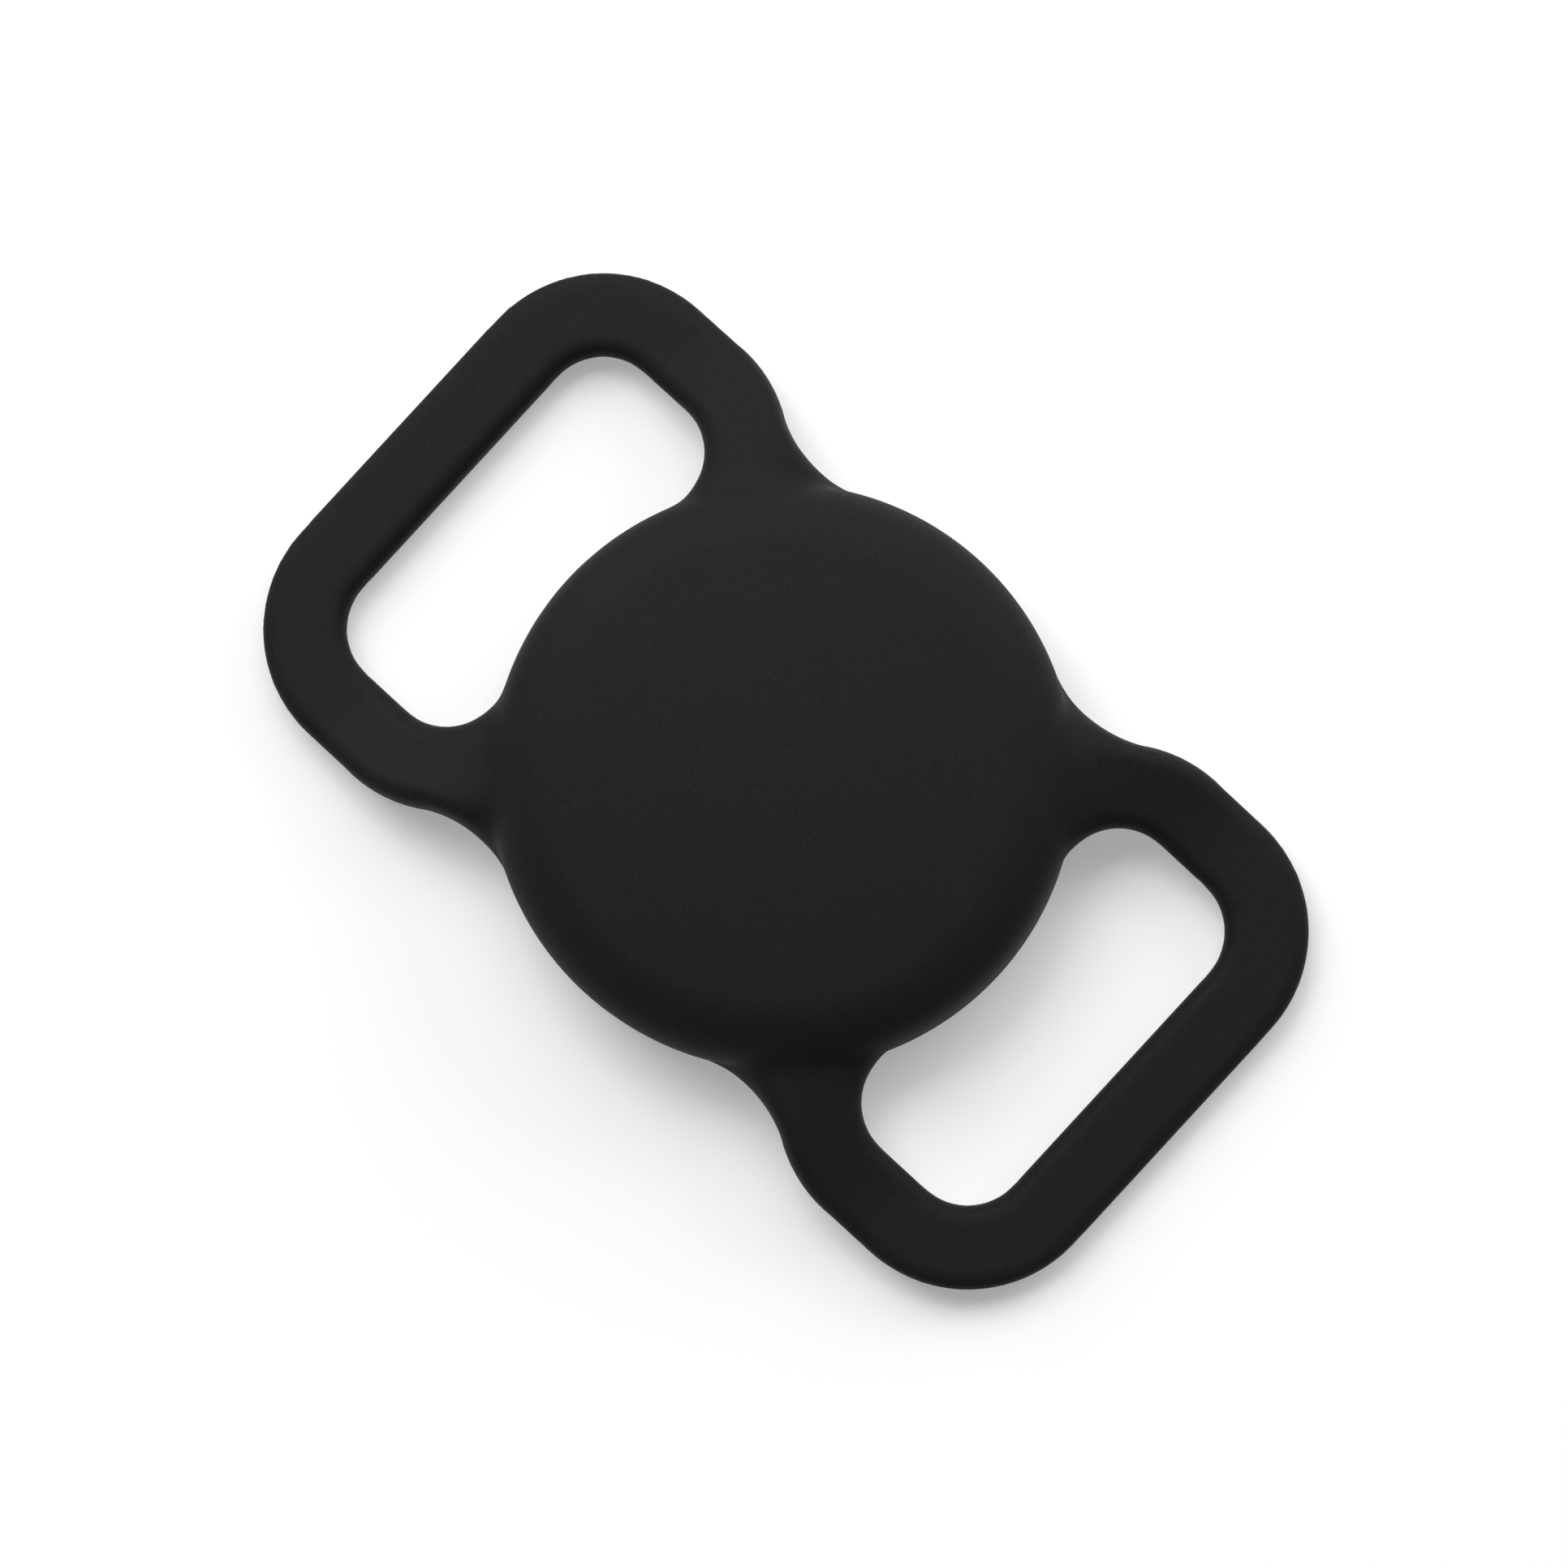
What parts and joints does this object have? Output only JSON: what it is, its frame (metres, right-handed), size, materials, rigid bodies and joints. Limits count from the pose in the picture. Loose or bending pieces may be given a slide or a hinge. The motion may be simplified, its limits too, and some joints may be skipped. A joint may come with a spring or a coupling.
{
  "type": "tracker tag holder",
  "caption": "Soft silicone holder whose domed pocket grips a round tracker tag, with a strap loop at each end; the tag has a twist-off battery cover.",
  "frame": {"origin": "middle of the back, on the plane that the lip and the far ends of both loops rest on", "axes": "+X through both strap loops, +Y across the holder along the slots, +Z out of the domed front"},
  "size_m": [0.0652, 0.036, 0.0107],
  "materials": {
    "silicone": "matte soft-touch silicone",
    "shell_plastic": "gloss",
    "frame_plastic": "satin",
    "copper": "satin copper",
    "board": "satin solder mask",
    "tinned_sheet": "satin",
    "chip_resin": "matte",
    "capacitor_ceramic": "matte",
    "magnet_plate": "nickel plated",
    "yoke_steel": "satin",
    "gold_plate": "gold plated",
    "cell_steel": "fine brushed",
    "gasket": "matte",
    "polished_steel": "polished stainless",
    "pad_foam": "matte foam",
    "seal_rubber": "matte"
  },
  "bodies": {
    "holder": {"holder_sleeve": "silicone"},
    "tag": {"tag_front_shell": "shell_plastic", "tag_frame": "frame_plastic", "antenna_strip": "copper", "circuit_board": "board", "board_shield": "tinned_sheet", "board_chips": "chip_resin", "board_capacitors": "capacitor_ceramic", "voice_coil": "copper", "speaker_magnet": "magnet_plate", "magnet_yoke": "yoke_steel", "positive_contacts": "gold_plate", "negative_contact": "gold_plate", "coin_cell_can": "cell_steel", "coin_cell_cap": "cell_steel", "coin_cell_gasket": "gasket", "cover_seal": "seal_rubber"},
    "cover": {"cover_plate": "polished_steel", "cover_liner": "frame_plastic", "cover_pads": "pad_foam"}
  },
  "joints": [
    {"name": "tag_out", "type": "slide", "parent": "holder", "child": "tag", "axis": [0, 0, -1], "range_m": [0, 0.014], "deforming": ["holder_sleeve"]},
    {"name": "cover_turn", "type": "hinge", "parent": "tag", "child": "cover", "pos_m": [0, 0, 0.002], "axis": [0, 0, 1], "range_deg": [-30, 0]}
  ]
}
